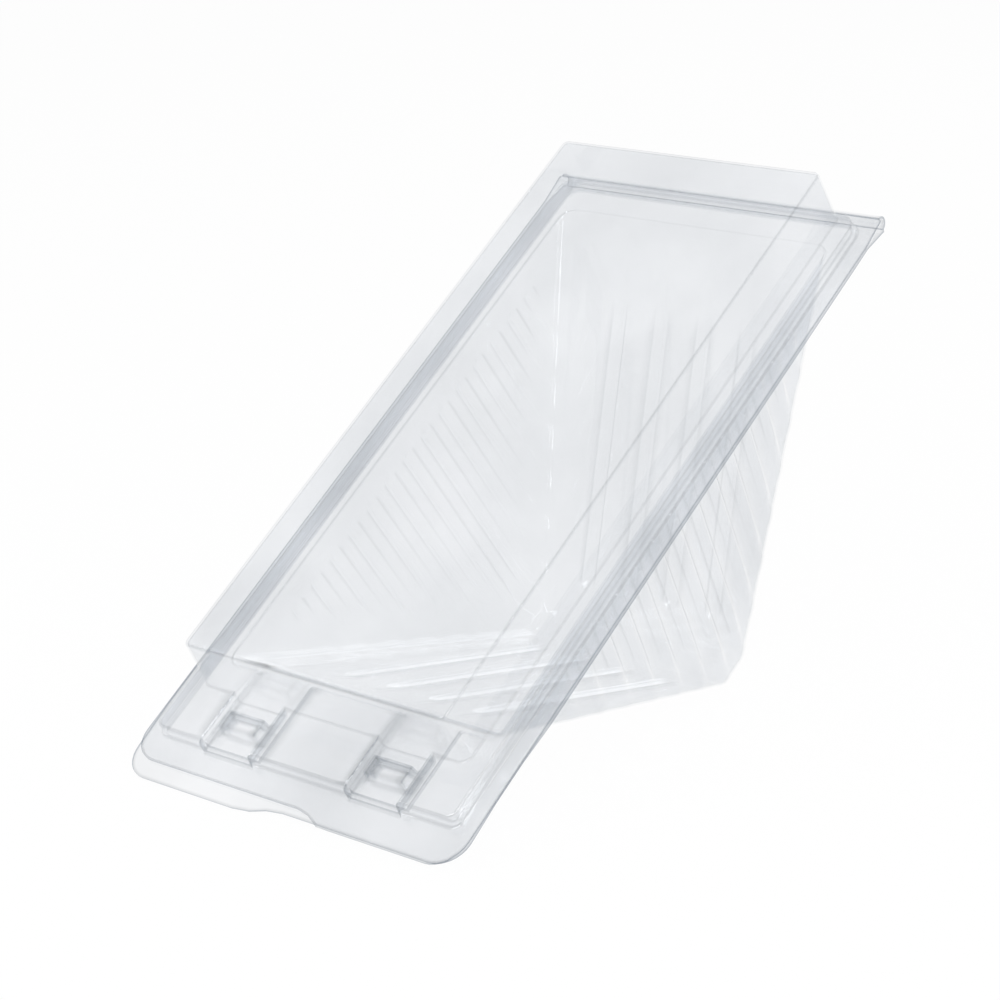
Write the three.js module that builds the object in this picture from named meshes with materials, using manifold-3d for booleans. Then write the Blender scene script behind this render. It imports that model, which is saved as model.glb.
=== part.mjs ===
// Clear hinged sandwich wedge pack, formed in one piece from thin PET sheet: a V-shaped
// tray, a domed lid and the rolled hinge between them, closed and standing on lip and heel.
// Millimetres. In the pack's own frame X runs across it, Y from the opening lip to the
// hinge, and Z out through the lid, with Z = 0 on top of the tray's flange.

import * as THREE from 'three';
import { mergeVertices } from 'three/addons/utils/BufferGeometryUtils.js';
import Module from 'manifold-3d';

const wasm = await Module();
wasm.setup();

// Sheet
const SHEET = 0.45;
const REST_GAP = 0.3;

// Flange and finger tabs
const FLANGE_WIDTH = 90;
const FLANGE_CORNER = 6.5;
const TRAY_TAB_REACH = 2.4;
const TRAY_TAB_START = -11;
const TRAY_TAB_END = -1;
const LID_LIP_SETBACK = 1.7;
const LID_TAB_REACH = 2.6;
const LID_TAB_START = 4.5;
const LID_TAB_END = 10.5;

// Rolled hinge
const HINGE_Y = 183.8;
const HINGE_ROLL_RADIUS = 1.8;
const HINGE_ROLL_LENGTH = 5;
const HINGE_ROLL_SETBACK = 0.6;

// Step round the lid, one formed wall up from the flange
const STEP_WIDTH = 82.4;
const STEP_NEAR_Y = 8;
const STEP_FAR_Y = 180.3;
const STEP_HEIGHT = 4;
const STEP_DRAFT = 5;
const STEP_NEAR_CORNER = 2.5;
const STEP_FAR_CORNER = 4.6;

// Dome on the step
const DOME_WIDTH = 73;
const DOME_NEAR_Y = 20.7;
const DOME_FAR_GAP = 0.4;
const DOME_HEIGHT = 16.6;
const DOME_DRAFT = 4;
const DOME_CORNER = 2.5;

// Snap locks in the lip end of the step
const LOCK_PITCH = 40.4;
const CHANNEL_WIDTH = 13.2;
const CHANNEL_FLOOR = 1.3;
const CHANNEL_MOUTH = 0.9;
const STUD_WIDTH = 10.7;
const STUD_LENGTH = 5.2;
const STUD_Y = 14.5;
const STUD_HEIGHT = 2.9;
const BLOCK_CORNER = 0.8;

// Ledge and V-shaped cavity of the tray
const LEDGE_HEIGHT = 1.6;
const CAVITY_WIDTH = 73.6;
const CAVITY_NEAR_Y = 28.5;
const CAVITY_FAR_Y = 171.9;
const CAVITY_CORNER = 3.5;
const SIDE_DRAFT = 7;
const HEEL_WIDTH = 6.5;
const HEEL_RADIUS = 3;

// Ribs formed outwards in the cavity walls
const RIB_WIDTH = 3.8;
const RIB_PROUD = 1;
const SIDE_RIBS = 14;
const SIDE_RIB_PITCH = 7.6;
const SIDE_RIB_HEAD = 5.1;
const SIDE_RIB_END_GAP = 0.4;
const LEG_RIBS = 6;
const LEG_RIB_PITCH = 12;
const LEG_RIB_HEAD = 12;
const LEG_RIB_TAIL = 7;

// Smoothness of the round stretches
const CORNER_STEPS = 4;
const HEEL_STEPS = 3;
const ROLL_STEPS = 6;
const RIB_SIDES = 12;
const RIB_CAP_STEPS = 2;

const radians = THREE.MathUtils.degToRad;
const slope = (degrees) => Math.tan(radians(degrees));

// How far one solid reaches past another that it joins or cuts
const PAST = 1;

// A closed mesh as a solid, and a solid as a mesh

function solid(geometry) {
  const bare = geometry.clone();
  bare.deleteAttribute('normal');
  bare.deleteAttribute('uv');
  const merged = mergeVertices(bare, 1e-5);
  const mesh = new wasm.Mesh({
    numProp: 3,
    vertProperties: new Float32Array(merged.attributes.position.array),
    triVerts: new Uint32Array(merged.index.array),
  });
  return new wasm.Manifold(mesh);
}

function geometryOf(body) {
  const mesh = body.getMesh();
  const geometry = new THREE.BufferGeometry();
  geometry.setAttribute('position', new THREE.BufferAttribute(mesh.vertProperties, 3));
  geometry.setIndex(new THREE.BufferAttribute(mesh.triVerts, 1));
  geometry.computeVertexNormals();
  return geometry;
}

const join = (bodies) => bodies.reduce((sum, body) => sum.add(body));

// A rounded rectangle as a ring of points: the corners run near right, far right, far left,
// near left, each with its own radius
function ring({ half, near, far, corners, steps = CORNER_STEPS }) {
  const limit = Math.min(half, (far - near) / 2) * 0.98;
  const turns = [
    [1, near, -90, corners[0]],
    [1, far, 0, corners[1]],
    [-1, far, 90, corners[1]],
    [-1, near, 180, corners[0]],
  ];
  const points = [];
  for (const [side, edge, start, wanted] of turns) {
    const radius = Math.min(wanted, limit);
    const inward = edge === near ? 1 : -1;
    const centreX = side * (half - radius);
    const centreY = edge + inward * radius;
    for (let step = 0; step <= steps; step += 1) {
      const angle = radians(start + (90 * step) / steps);
      points.push([centreX + radius * Math.cos(angle), centreY + radius * Math.sin(angle)]);
    }
  }
  return points;
}

// A closed skin over rounded rectangles stacked from low to high
function loft(levels) {
  const rings = levels.map(ring);
  const count = rings[0].length;
  const positions = [];
  rings.forEach((points, level) => {
    points.forEach(([x, y]) => positions.push(x, y, levels[level].z));
  });
  const index = [];
  for (let level = 0; level + 1 < rings.length; level += 1) {
    for (let i = 0; i < count; i += 1) {
      const low = level * count + i;
      const lowNext = level * count + ((i + 1) % count);
      index.push(low, lowNext, lowNext + count, low, lowNext + count, low + count);
    }
  }
  const top = (rings.length - 1) * count;
  for (let i = 1; i + 1 < count; i += 1) {
    index.push(0, i + 1, i, top, top + i, top + i + 1);
  }
  const geometry = new THREE.BufferGeometry();
  geometry.setAttribute('position', new THREE.Float32BufferAttribute(positions, 3));
  geometry.setIndex(index);
  return solid(geometry);
}

// A profile in the pack's YZ plane, carried across the pack
function across(profile, width) {
  const geometry = new THREE.ExtrudeGeometry(profile, { depth: width, bevelEnabled: false });
  const turn = new THREE.Matrix4().makeBasis(
    new THREE.Vector3(0, 1, 0),
    new THREE.Vector3(0, 0, 1),
    new THREE.Vector3(1, 0, 0),
  );
  geometry.applyMatrix4(turn);
  geometry.translate(-width / 2, 0, 0);
  return solid(geometry);
}

// Flange of the tray or of the lid, with the finger tab on its own half of the lip

function flange({ lipY, tabReach, tabStart, tabEnd, tabOnLeft, top }) {
  const half = FLANGE_WIDTH / 2;
  const leftY = tabOnLeft ? lipY - tabReach : lipY;
  const rightY = tabOnLeft ? lipY : lipY - tabReach;
  const middle = (tabStart + tabEnd) / 2;
  const outline = new THREE.Shape();
  outline.moveTo(-half, HINGE_Y - HINGE_ROLL_LENGTH + SHEET);
  outline.lineTo(-half, leftY + FLANGE_CORNER);
  outline.absarc(-half + FLANGE_CORNER, leftY + FLANGE_CORNER, FLANGE_CORNER, Math.PI, 1.5 * Math.PI);
  outline.lineTo(tabStart, leftY);
  outline.bezierCurveTo(middle, leftY, middle, rightY, tabEnd, rightY);
  outline.absarc(half - FLANGE_CORNER, rightY + FLANGE_CORNER, FLANGE_CORNER, -0.5 * Math.PI, 0);
  outline.lineTo(half, HINGE_Y - HINGE_ROLL_LENGTH + SHEET);
  const plate = new THREE.ExtrudeGeometry(outline, {
    depth: SHEET,
    bevelEnabled: false,
    curveSegments: 2 * CORNER_STEPS,
  });
  plate.translate(0, 0, top - SHEET);
  return solid(plate);
}

// Half of the rolled hinge: the sheet swells from the flange and turns round to the pivot.
// side is 1 for the lid's upper half and -1 for the tray's lower half, and face is the
// height of the flange's outer face there.
function hingeRoll(side, face) {
  const crest = HINGE_Y - REST_GAP / 2 - HINGE_ROLL_RADIUS;
  const start = HINGE_Y - HINGE_ROLL_LENGTH;
  const outer = [];
  const inner = [];
  for (let step = 0; step <= ROLL_STEPS; step += 1) {
    const part = step / ROLL_STEPS;
    const swell = (1 - Math.cos(Math.PI * part)) / 2;
    const height = face + (HINGE_ROLL_RADIUS - face) * swell;
    const y = start + (crest - start) * part;
    outer.push([y, side * height]);
    inner.push([y, side * (height - SHEET)]);
  }
  const end = Math.asin(REST_GAP / 2 / (HINGE_ROLL_RADIUS - SHEET));
  for (let step = 1; step <= ROLL_STEPS; step += 1) {
    const angle = Math.PI / 2 + (end - Math.PI / 2) * (step / ROLL_STEPS);
    const bend = (radius) => [crest + radius * Math.cos(angle), side * radius * Math.sin(angle)];
    outer.push(bend(HINGE_ROLL_RADIUS));
    inner.push(bend(HINGE_ROLL_RADIUS - SHEET));
  }
  const loop = [...outer, ...inner.reverse()].map(([y, z]) => new THREE.Vector2(y, z));
  return across(new THREE.Shape(loop), FLANGE_WIDTH - 2 * HINGE_ROLL_SETBACK);
}

// Lid

const LID_TOP = REST_GAP + SHEET;

// The step and the dome as filled forms, pulled in on every side by inset
function stepForm(inset, bottom) {
  const level = (z) => {
    const pull = inset + (z - LID_TOP) * slope(STEP_DRAFT);
    return {
      z,
      half: STEP_WIDTH / 2 - pull,
      near: STEP_NEAR_Y + pull,
      far: STEP_FAR_Y - pull,
      corners: [STEP_NEAR_CORNER - inset, STEP_FAR_CORNER - inset],
    };
  };
  return loft([level(bottom), level(STEP_HEIGHT - inset)]);
}

function domeForm(inset, bottom) {
  const foot = STEP_FAR_Y - DOME_FAR_GAP - (STEP_HEIGHT - LID_TOP) * slope(STEP_DRAFT);
  const level = (z) => {
    const pull = inset + (z - STEP_HEIGHT) * slope(DOME_DRAFT);
    return {
      z,
      half: DOME_WIDTH / 2 - pull,
      near: DOME_NEAR_Y + pull,
      far: foot - inset,
      corners: [DOME_CORNER - inset, DOME_CORNER - inset],
    };
  };
  return loft([level(bottom), level(DOME_HEIGHT - inset)]);
}

// A straight-sided block with drafted flanks, used for the channels and the studs
function block({ x, width, near, far, low, high, draft }) {
  const level = (z) => {
    const pull = (z - low) * slope(draft);
    return {
      z,
      half: width / 2 - pull,
      near,
      far,
      corners: [BLOCK_CORNER, BLOCK_CORNER],
      steps: 1,
    };
  };
  return loft([level(low), level(high)]).translate([x, 0, 0]);
}

const lockPlaces = [-LOCK_PITCH / 2, LOCK_PITCH / 2];

// The room above a lock's channel floor, grown by margin on its flanks and its floor
function lidChannel(x, margin) {
  return block({
    x,
    width: CHANNEL_WIDTH + 2 * margin,
    near: STEP_NEAR_Y - CHANNEL_MOUTH - PAST,
    far: DOME_NEAR_Y + PAST + margin,
    low: CHANNEL_FLOOR - margin,
    high: STEP_HEIGHT + PAST,
    draft: -STEP_DRAFT,
  });
}

function lidMouth(x, inset, low) {
  return block({
    x,
    width: CHANNEL_WIDTH + 2 * SHEET - 2 * inset,
    near: STEP_NEAR_Y - CHANNEL_MOUTH + inset,
    far: STEP_NEAR_Y + PAST,
    low,
    high: CHANNEL_FLOOR - inset,
    draft: 0,
  });
}

function stud(x, inset, low) {
  return block({
    x,
    width: STUD_WIDTH - 2 * inset,
    near: STUD_Y - STUD_LENGTH / 2 + inset,
    far: STUD_Y + STUD_LENGTH / 2 - inset,
    low,
    high: CHANNEL_FLOOR + STUD_HEIGHT - inset,
    draft: 0,
  });
}

// Everything that the lid's sheet covers: its outer face at inset 0 and its inner at SHEET
function lidForm(inset, bottom) {
  const step = lockPlaces.reduce(
    (body, x) => body.subtract(lidChannel(x, inset)),
    stepForm(inset, bottom),
  );
  return join([
    step,
    domeForm(inset, bottom),
    ...lockPlaces.map((x) => lidMouth(x, inset, bottom)),
    ...lockPlaces.map((x) => stud(x, inset, bottom)),
  ]);
}

function lidBody() {
  const plate = flange({
    lipY: LID_LIP_SETBACK,
    tabReach: LID_TAB_REACH,
    tabStart: LID_TAB_START,
    tabEnd: LID_TAB_END,
    tabOnLeft: false,
    top: LID_TOP,
  });
  const skin = join([plate, hingeRoll(1, LID_TOP), lidForm(0, REST_GAP)]);
  return skin.subtract(lidForm(SHEET, REST_GAP - PAST));
}

// Tray

// What the tray keeps from the outer face of the lid: the lid's sheet and the rest gap
const NEST = SHEET + REST_GAP;

// The ledge stands inside the lid's step
function ledgeForm(inset, bottom) {
  const level = (z) => {
    const pull = NEST + inset + (z - LID_TOP) * slope(STEP_DRAFT);
    return {
      z,
      half: STEP_WIDTH / 2 - pull,
      near: STEP_NEAR_Y + pull,
      far: STEP_FAR_Y - pull,
      corners: [STEP_NEAR_CORNER - NEST - inset, STEP_FAR_CORNER - NEST - inset],
    };
  };
  const body = loft([level(bottom), level(LEDGE_HEIGHT - inset)]);
  return lockPlaces.reduce((sum, x) => sum.subtract(ledgeChannel(x, inset)), body);
}

function ledgeChannel(x, margin) {
  const grown = NEST + margin;
  return block({
    x,
    width: CHANNEL_WIDTH + 2 * grown,
    near: STEP_NEAR_Y - PAST,
    far: CAVITY_NEAR_Y + CAVITY_CORNER,
    low: CHANNEL_FLOOR - grown,
    high: STEP_HEIGHT,
    draft: 0,
  });
}

const trayForm = (inset, bottom) => join([
  ledgeForm(inset, bottom),
  ...lockPlaces.map((x) => stud(x, NEST + inset, bottom)),
]);

// Depth from the ledge to the flat of the heel, with legs square to each other
const CAVITY_DEPTH = (CAVITY_FAR_Y - CAVITY_NEAR_Y - HEEL_WIDTH) / 2;

// The rounded heel as heights above its flat, each with the distance that the two legs
// stand in from their own planes there
function heelSteps(radius) {
  const tangent = radius * slope(22.5);
  const steps = [];
  for (let step = 0; step <= HEEL_STEPS; step += 1) {
    const angle = radians((45 * step) / HEEL_STEPS);
    const rise = radius * (1 - Math.cos(angle));
    steps.push({ rise, inset: tangent - radius * Math.sin(angle) + rise });
  }
  return steps;
}

// The cavity as a filled form, grown by offset on every side
function cavityForm(offset, top) {
  const floor = LEDGE_HEIGHT - CAVITY_DEPTH - offset;
  const level = (z, inset) => {
    const depth = LEDGE_HEIGHT - z;
    const lean = depth - offset * Math.SQRT2 + inset;
    return {
      z,
      half: CAVITY_WIDTH / 2 + offset - depth * slope(SIDE_DRAFT),
      near: CAVITY_NEAR_Y + lean,
      far: CAVITY_FAR_Y - lean,
      corners: [CAVITY_CORNER + offset, CAVITY_CORNER + offset],
    };
  };
  const heel = heelSteps(HEEL_RADIUS + offset);
  return loft([...heel.map(({ rise, inset }) => level(floor + rise, inset)), level(top, 0)]);
}

// The space between the two legs' planes, wider than the cavity
function legPrism(offset) {
  const deep = CAVITY_DEPTH + offset;
  const near = CAVITY_NEAR_Y - offset * Math.SQRT2;
  const far = CAVITY_FAR_Y + offset * Math.SQRT2;
  const profile = new THREE.Shape([
    new THREE.Vector2(near, LEDGE_HEIGHT),
    new THREE.Vector2(near + deep, LEDGE_HEIGHT - deep),
    new THREE.Vector2(far - deep, LEDGE_HEIGHT - deep),
    new THREE.Vector2(far, LEDGE_HEIGHT),
  ]);
  return across(profile, FLANGE_WIDTH);
}

// A rib is a round bar whose middle lies inside the wall, so that RIB_PROUD of it shows
const RIB_RADIUS = (RIB_WIDTH ** 2 / 4 + RIB_PROUD ** 2) / (2 * RIB_PROUD);
const RIB_SINK = RIB_RADIUS - RIB_PROUD;

function bar(from, to, radius) {
  const run = to.clone().sub(from);
  const geometry = new THREE.CapsuleGeometry(radius, run.length(), RIB_CAP_STEPS, RIB_SIDES);
  const turn = new THREE.Quaternion().setFromUnitVectors(
    new THREE.Vector3(0, 1, 0),
    run.clone().normalize(),
  );
  geometry.applyQuaternion(turn);
  geometry.translate(...from.clone().add(to).divideScalar(2).toArray());
  return solid(geometry);
}

// Ribs down the two side walls, from below the rim to the legs
function sideRibs(offset) {
  const middle = (CAVITY_NEAR_Y + CAVITY_FAR_Y) / 2;
  const onWall = (side, y, depth) => new THREE.Vector3(
    side * (CAVITY_WIDTH / 2 - depth * slope(SIDE_DRAFT) - RIB_SINK),
    y,
    LEDGE_HEIGHT - depth,
  );
  const bars = [];
  for (let i = 0; i < SIDE_RIBS; i += 1) {
    const y = middle + (i - (SIDE_RIBS - 1) / 2) * SIDE_RIB_PITCH;
    const head = SIDE_RIB_HEAD + RIB_WIDTH / 2;
    const foot = Math.min(y - CAVITY_NEAR_Y, CAVITY_FAR_Y - y) + RIB_WIDTH;
    for (const side of [-1, 1]) {
      bars.push(bar(onWall(side, y, head), onWall(side, y, foot), RIB_RADIUS + offset));
    }
  }
  const room = cavityForm(offset + RIB_PROUD, LEDGE_HEIGHT)
    .intersect(legPrism(offset - SIDE_RIB_END_GAP));
  return join(bars).intersect(room);
}

// Ribs down the two legs, round at both ends
function legRibs(offset) {
  const onLeg = (end, x, depth) => {
    const leg = end < 0 ? CAVITY_NEAR_Y : CAVITY_FAR_Y;
    const sink = RIB_SINK / Math.SQRT2;
    return new THREE.Vector3(x, leg - end * (depth + sink), LEDGE_HEIGHT - depth + sink);
  };
  const bars = [];
  for (let i = 0; i < LEG_RIBS; i += 1) {
    const x = (i - (LEG_RIBS - 1) / 2) * LEG_RIB_PITCH;
    const room = CAVITY_WIDTH / 2 - Math.abs(x) - RIB_WIDTH;
    const foot = Math.min(CAVITY_DEPTH - LEG_RIB_TAIL, room / slope(SIDE_DRAFT));
    for (const end of [-1, 1]) {
      bars.push(bar(onLeg(end, x, LEG_RIB_HEAD), onLeg(end, x, foot), RIB_RADIUS + offset));
    }
  }
  return join(bars);
}

function trayBody() {
  const plate = flange({
    lipY: 0,
    tabReach: TRAY_TAB_REACH,
    tabStart: TRAY_TAB_START,
    tabEnd: TRAY_TAB_END,
    tabOnLeft: true,
    top: 0,
  });
  const hat = join([plate, hingeRoll(-1, SHEET), trayForm(0, -SHEET)]);
  const rim = hat.subtract(trayForm(SHEET, -SHEET - PAST - HINGE_ROLL_RADIUS));
  const outside = join([
    cavityForm(SHEET, LEDGE_HEIGHT - SHEET / 2),
    sideRibs(SHEET),
    legRibs(SHEET),
  ]);
  const inside = join([cavityForm(0, LEDGE_HEIGHT + PAST), sideRibs(0), legRibs(0)]);
  return rim.add(outside).subtract(inside);
}

// Clear sheet, cool and nearly colourless

function clearSheet() {
  return new THREE.MeshStandardMaterial({
    color: 0xe9eef2,
    roughness: 0.06,
    metalness: 0,
    transparent: true,
    opacity: 0.35,
    side: THREE.DoubleSide,
  });
}

function piece(name, body) {
  const mesh = new THREE.Mesh(geometryOf(body), clearSheet());
  mesh.name = name;
  return mesh;
}

const tray = piece('tray', trayBody());
const lid = piece('lid', lidBody());

// The closed pack leans back on its heel until the lower edge of the tray's tab and the
// heel stand on one level, with the origin below the middle of the whole
function leanOf(mesh) {
  const lipY = -TRAY_TAB_REACH;
  const lipZ = -SHEET;
  const point = new THREE.Vector3();
  const places = mesh.geometry.attributes.position;
  let lean = 0;
  for (let i = 0; i < places.count; i += 1) {
    point.fromBufferAttribute(places, i);
    lean = Math.max(lean, Math.atan2(lipZ - point.z, point.y - lipY));
  }
  return lean;
}

const pack = new THREE.Group();
pack.add(tray, lid);
pack.rotation.x = leanOf(tray);

const part = new THREE.Group();
part.add(pack);
part.updateMatrixWorld(true);
const bounds = new THREE.Box3().setFromObject(part, true);
const middle = bounds.getCenter(new THREE.Vector3());
pack.position.set(-middle.x, -middle.y, -bounds.min.z);
part.updateMatrixWorld(true);

export default part;
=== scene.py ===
"""Looks of a clear sandwich wedge pack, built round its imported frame.

The pack is one thin clear sheet: a ribbed tray, a domed lid and the rolled hinge between them.
Sizes are millimetres in the pack's own frame, with X across it, Y from the opening lip to the
hinge and Z out through the lid. Z = 0 is the top of the tray's flange."""

import math

import bmesh
import bpy
import numpy as np
from mathutils import Matrix, Vector


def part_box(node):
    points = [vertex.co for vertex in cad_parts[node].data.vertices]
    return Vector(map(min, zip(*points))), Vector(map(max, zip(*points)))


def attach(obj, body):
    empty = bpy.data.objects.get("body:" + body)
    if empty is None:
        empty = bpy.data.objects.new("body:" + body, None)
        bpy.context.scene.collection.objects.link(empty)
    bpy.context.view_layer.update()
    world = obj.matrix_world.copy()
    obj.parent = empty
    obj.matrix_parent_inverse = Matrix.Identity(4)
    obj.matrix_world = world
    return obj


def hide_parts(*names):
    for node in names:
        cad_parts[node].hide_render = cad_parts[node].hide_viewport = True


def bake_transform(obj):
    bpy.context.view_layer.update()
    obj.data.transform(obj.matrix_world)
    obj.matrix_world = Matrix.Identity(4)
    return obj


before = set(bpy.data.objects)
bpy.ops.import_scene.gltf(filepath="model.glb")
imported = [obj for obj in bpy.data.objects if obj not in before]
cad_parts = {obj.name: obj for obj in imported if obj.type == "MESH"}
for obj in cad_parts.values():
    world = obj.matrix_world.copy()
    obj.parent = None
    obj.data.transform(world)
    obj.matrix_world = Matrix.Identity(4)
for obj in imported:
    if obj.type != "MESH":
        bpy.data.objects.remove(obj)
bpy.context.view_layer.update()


# The tray is the lower half of the formed sheet: a flange with a finger tab, a low ledge with
# two snap studs, and a V-shaped cavity whose side walls and legs are stiffened by ribs.
# It is drawn into a mould from clear PET and trimmed with a steel rule.

MM = 0.001
LEAN = math.radians(33.880629)
SHEET = 0.45
REST_GAP = 0.3
NEST = SHEET + REST_GAP

FLANGE_HALF = 44.94
FLANGE_CORNER = 6.5
FLANGE_FAR_CORNER = 0.6
TRAY_TAB_REACH = 2.4
TRAY_TAB_SPAN = (-11, -1)
TAB_FADE = 30

HINGE_Y = 183.8
ROLL_RADIUS = 1.8
ROLL_START_Y = 178.8
CREST_Y = HINGE_Y - REST_GAP / 2 - ROLL_RADIUS

STEP_HALF = 41.2
STEP_NEAR_Y = 8
STEP_FAR_Y = 180.3
STEP_DRAFT = math.radians(5)
STEP_NEAR_CORNER = 2.5
STEP_FAR_CORNER = 4.6

LOCK_X = 20.2
CHANNEL_HALF = 6.6
CHANNEL_FLOOR = 1.3
STUD_HALF = 5.35
STUD_Y = 14.5
STUD_HALF_LENGTH = 2.6
STUD_TOP = 4.2
STUD_FROM_Y = STEP_NEAR_Y + 2
FLANK = 0.4

LEDGE_HEIGHT = 1.6
LEDGE_BEND = 0.5
FLANGE_BELOW = 0.5
CAVITY_HALF = 36.8
CAVITY_NEAR_Y = 28.5
CAVITY_FAR_Y = 171.9
CAVITY_CORNER = 3.5
CAVITY_EDGE = 0.6
SIDE_DRAFT = math.radians(7)
LEG_TURN = math.radians(45)
HEEL_WIDTH = 7.1
HEEL_RADIUS = 3
CAVITY_DEPTH = (CAVITY_FAR_Y - CAVITY_NEAR_Y - HEEL_WIDTH) / 2
CAVITY_MIDDLE = (CAVITY_NEAR_Y + CAVITY_FAR_Y) / 2

RIB_HALF = 1.9
RIB_PROUD = 1
SIDE_RIBS = 14
SIDE_RIB_PITCH = 7.6
SIDE_RIB_HEAD = 7
SIDE_RIB_TAIL = 14
HEAD_RADIUS = 1.4
HEAD_PROUD = 1.5
LEG_RIBS = 6
LEG_RIB_PITCH = 12
LEG_RIB_HEAD = 12
LEG_RIB_TAIL = 7

SIDE_RIB_Y = CAVITY_MIDDLE + (np.arange(SIDE_RIBS) - (SIDE_RIBS - 1) / 2) * SIDE_RIB_PITCH
LEG_RIB_X = (np.arange(LEG_RIBS) - (LEG_RIBS - 1) / 2) * LEG_RIB_PITCH
LEG_RIB_RUN_OUT = 4
LEG_RIB_SIDE_FADE = 0.8
RIB_LEFT_AT_CORNER = 0.2

FLAT_MARGIN = 0.12
CORNER_STEPS = 8
HEAD_DEPTHS = (0.15, 0.5, 2.5, 4.7, 5.3, 5.7, 6.1, 6.55, 7, 7.45, 7.9, 8.3)
HEAD_DEPTH_LIMIT = 2
WALL_STEPS = 28
FILLET_STEPS = 6
TRAY_STILL_X = 32
FLOOR_STILL_X = 20.6
TRAY_STILL_Y = (47, 153.4)
END_ROOM = 0.5

tray_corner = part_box("tray")[0]
pack_origin = np.array(
    [
        0,
        tray_corner.y + TRAY_TAB_REACH * math.cos(LEAN) * MM,
        tray_corner.z + (TRAY_TAB_REACH * math.sin(LEAN) + SHEET * math.cos(LEAN)) * MM,
    ]
)
pack_axes = np.array(
    [
        [1, 0, 0],
        [0, math.cos(LEAN), math.sin(LEAN)],
        [0, -math.sin(LEAN), math.cos(LEAN)],
    ]
)


def in_frame(points):
    """Pack millimetres as metres in the frame: turned by the lean about X, then moved."""
    return np.asarray(points, float) @ pack_axes * MM + pack_origin


def in_pack(points):
    """The way back: metres in the frame as pack millimetres."""
    return (points - pack_origin) @ pack_axes.T / MM


def smooth(t):
    """0 up to 0, 1 from 1 on, and 3t^2 - 2t^3 between."""
    t = np.clip(t, 0, 1)
    return t * t * (3 - 2 * t)


def lines_round(centres, offsets):
    """Every centre with every offset added and taken off, in order."""
    both = np.concatenate([-np.array(offsets), offsets])
    return np.unique(np.add.outer(centres, both).round(3))


def spaced(lines, least=0.12):
    """The lines in order, without those that lie closer than least to the one before."""
    lines = np.unique(lines)
    return lines[np.concatenate([[True], np.diff(lines) > least])]


def stretched(lines, still, low, high):
    """Lines inside the still span keep their place, and the rest stretch to low and high."""
    span = (max(still[0], low + END_ROOM), min(still[1], high - END_ROOM))
    return np.interp(lines, [lines[0], still[0], still[1], lines[-1]], [low, *span, high])


def loop(lines, half, near, far, near_corner, far_corner):
    """A rounded rectangle in plan as points in the order near side, right, far side, left.
    The straight sides have a point on each line, and each corner is a quarter circle."""
    cross, along, still_x, still_y = lines
    quarter = np.linspace(0, math.pi / 2, CORNER_STEPS + 1)[1:-1]
    near_x = stretched(cross, (-still_x, still_x), near_corner - half, half - near_corner)
    far_x = stretched(cross, (-still_x, still_x), far_corner - half, half - far_corner)
    side_y = stretched(along, still_y, near + near_corner, far - far_corner)
    near_bend = near_corner * np.array([np.sin(quarter), -np.cos(quarter)])
    far_bend = far_corner * np.array([np.cos(quarter), np.sin(quarter)])
    near_right = near_bend + np.array([[half - near_corner], [near + near_corner]])
    far_right = far_bend + np.array([[half - far_corner], [far - far_corner]])
    mirror = np.array([[-1], [1]])
    parts = [
        np.array([near_x, np.full_like(near_x, near)]),
        near_right,
        np.array([np.full_like(side_y, half), side_y]),
        far_right,
        np.array([far_x[::-1], np.full_like(far_x, far)]),
        (far_right * mirror)[:, ::-1],
        np.array([np.full_like(side_y, -half), side_y[::-1]]),
        (near_right * mirror)[:, ::-1],
    ]
    return np.concatenate(parts, axis=1).T


def wall_profile(low, high, draft, foot, top, steps=5):
    """A drafted wall in section, as distances in from its foot line and heights: an arc of
    radius foot leads up into it and an arc of radius top leads off it, both tangent. The flat
    between them has two points close to each arc, so that it is shaded flat to its ends."""
    turn = math.pi / 2 - draft
    reach = math.tan(turn / 2)
    angles = np.linspace(0, turn, steps)
    back = angles[::-1]
    edge = (high - low) * math.tan(draft)
    inward = np.concatenate(
        [foot * (np.sin(angles) - reach), edge + top * (reach - np.sin(back))]
    )
    heights = np.concatenate(
        [low + foot * (1 - np.cos(angles)), high - top * (1 - np.cos(back))]
    )
    flat = heights[steps] - heights[steps - 1]
    apart = min(FLAT_MARGIN / flat, 0.2)
    shares = [apart, 2.5 * apart, 1 - 2.5 * apart, 1 - apart]
    place = [steps - 1 + share for share in shares]
    order = np.arange(2 * steps)
    index = np.sort(np.concatenate([order, place]))
    return np.interp(index, order, inward), np.interp(index, order, heights)


def swell(y):
    """How far the sheet has risen into the hinge roll, from 0 at its start to 1 at its crest."""
    part = np.clip((y - ROLL_START_Y) / (CREST_Y - ROLL_START_Y), 0, 1)
    return (1 - np.cos(math.pi * part)) / 2


def between(outer, inner, shares):
    """Loops that lead from one loop to another, one for each share of the way."""
    return outer + np.asarray(shares)[:, None, None] * (inner - outer)


def with_heights(loops, heights):
    """Plan loops and their heights as one array of points."""
    heights = np.broadcast_to(heights, loops.shape[:2])
    return np.concatenate([loops, heights[..., None]], axis=2)


def lock_span(x, half, flank):
    """1 within half of a lock's middle, falling smoothly to 0 over the flank outside it."""
    return smooth((half + flank - np.abs(np.abs(x) - LOCK_X)) / flank)


def lock_stud(x, y, inset):
    """1 on top of a snap stud pulled in by inset, falling to 0 at its foot."""
    across = smooth((STUD_HALF - inset - np.abs(np.abs(x) - LOCK_X)) / FLANK)
    return across * smooth((STUD_HALF_LENGTH - inset - np.abs(y - STUD_Y)) / FLANK)


def rib_height(distance):
    """Height of a rib at a distance from its middle line: (1 - q^2)^1.3 of the full height,
    with q the distance over half the rib's width."""
    return RIB_PROUD * np.clip(1 - (distance / RIB_HALF) ** 2, 0, 1) ** 1.3


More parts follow.
